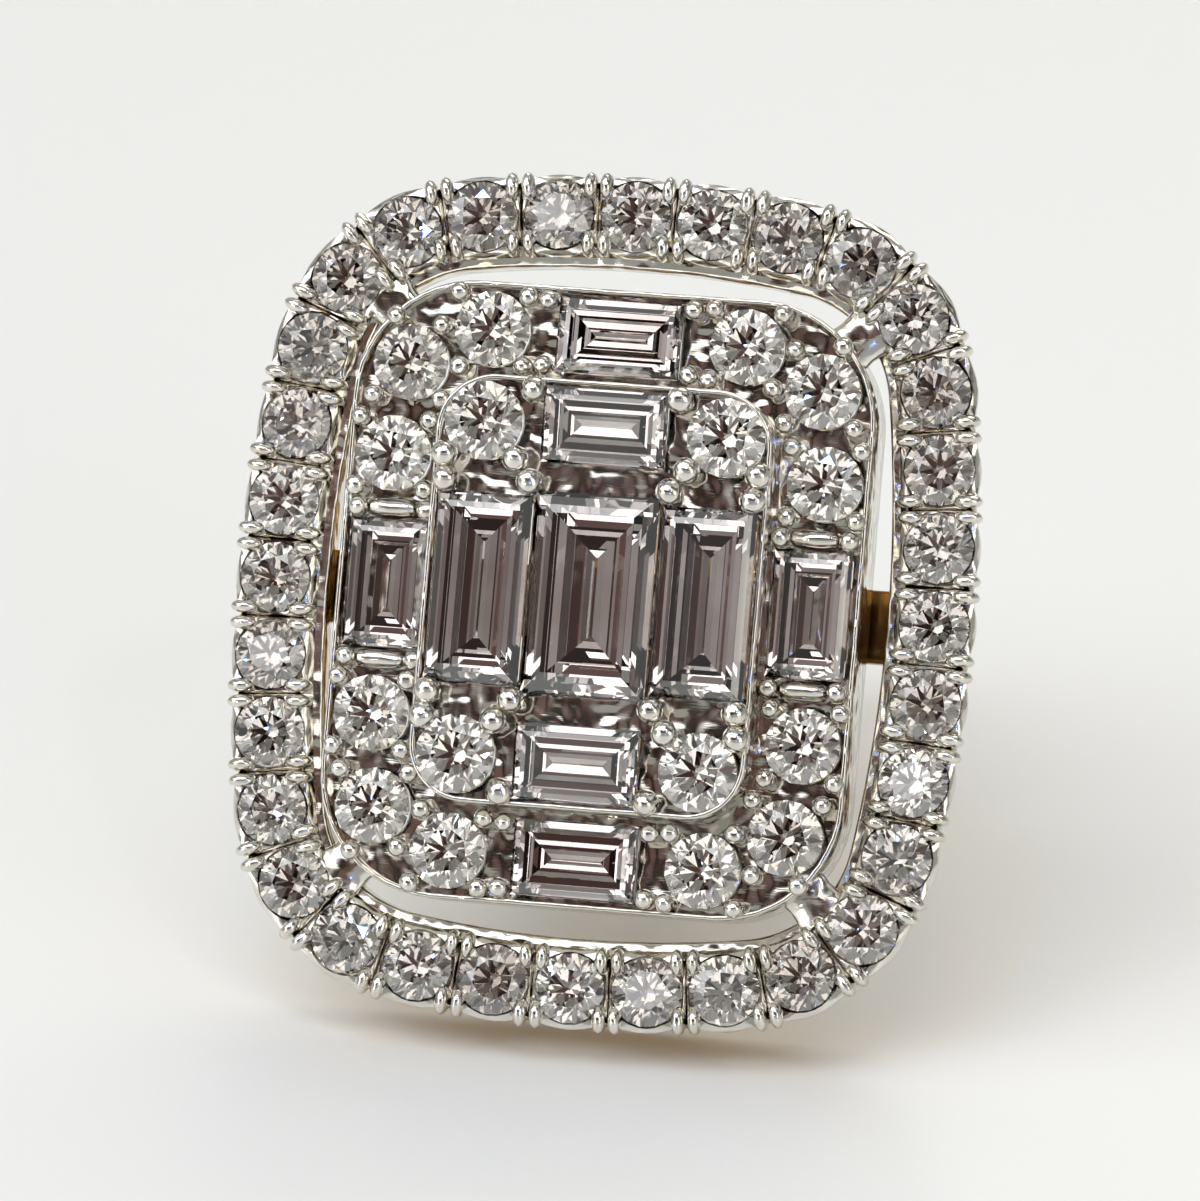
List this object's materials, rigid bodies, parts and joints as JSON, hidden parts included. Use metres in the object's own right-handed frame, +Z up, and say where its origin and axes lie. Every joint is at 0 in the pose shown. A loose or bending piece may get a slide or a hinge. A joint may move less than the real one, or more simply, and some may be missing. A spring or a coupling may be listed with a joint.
{
  "type": "stud earring",
  "caption": "Cushion-shaped two-tone cluster stud earring: pavé halo round two raised tiers of baguette and round stones, pierced gallery, post and butterfly back.",
  "frame": {"origin": "centre of the resting footprint, on the surface that the stud lies on", "axes": "+Z up, the face turned towards -Y and leaning back, +X to the viewer's right; the post runs back and down towards +Y"},
  "size_m": [0.0122, 0.0152, 0.013],
  "materials": {
    "white_gold": "polished, rhodium plated",
    "yellow_gold": "polished",
    "diamond": "faceted and polished"
  },
  "bodies": {
    "earring": {"head": "white_gold", "gallery": "yellow_gold", "stone_centre": "diamond", "stone_inner_left": "diamond", "stone_inner_right": "diamond", "stone_inner_top": "diamond", "stone_inner_bottom": "diamond", "stone_outer_top": "diamond", "stone_outer_bottom": "diamond", "stone_outer_left": "diamond", "stone_outer_right": "diamond", "stone_inner_round_top_right": "diamond", "stone_round_a_top_right": "diamond", "stone_round_b_top_right": "diamond", "stone_round_c_top_right": "diamond", "stone_inner_round_top_left": "diamond", "stone_round_a_top_left": "diamond", "stone_round_b_top_left": "diamond", "stone_round_c_top_left": "diamond", "stone_inner_round_low_left": "diamond", "stone_round_a_low_left": "diamond", "stone_round_b_low_left": "diamond", "stone_round_c_low_left": "diamond", "stone_inner_round_low_right": "diamond", "stone_round_a_low_right": "diamond", "stone_round_b_low_right": "diamond", "stone_round_c_low_right": "diamond"},
    "butterfly": {"butterfly_back": "yellow_gold"}
  },
  "joints": [
    {"name": "butterfly_slide", "type": "slide", "parent": "earring", "child": "butterfly", "axis": [0, 0.8798, -0.4753], "range_m": [-0.0058, 0.0058]}
  ]
}
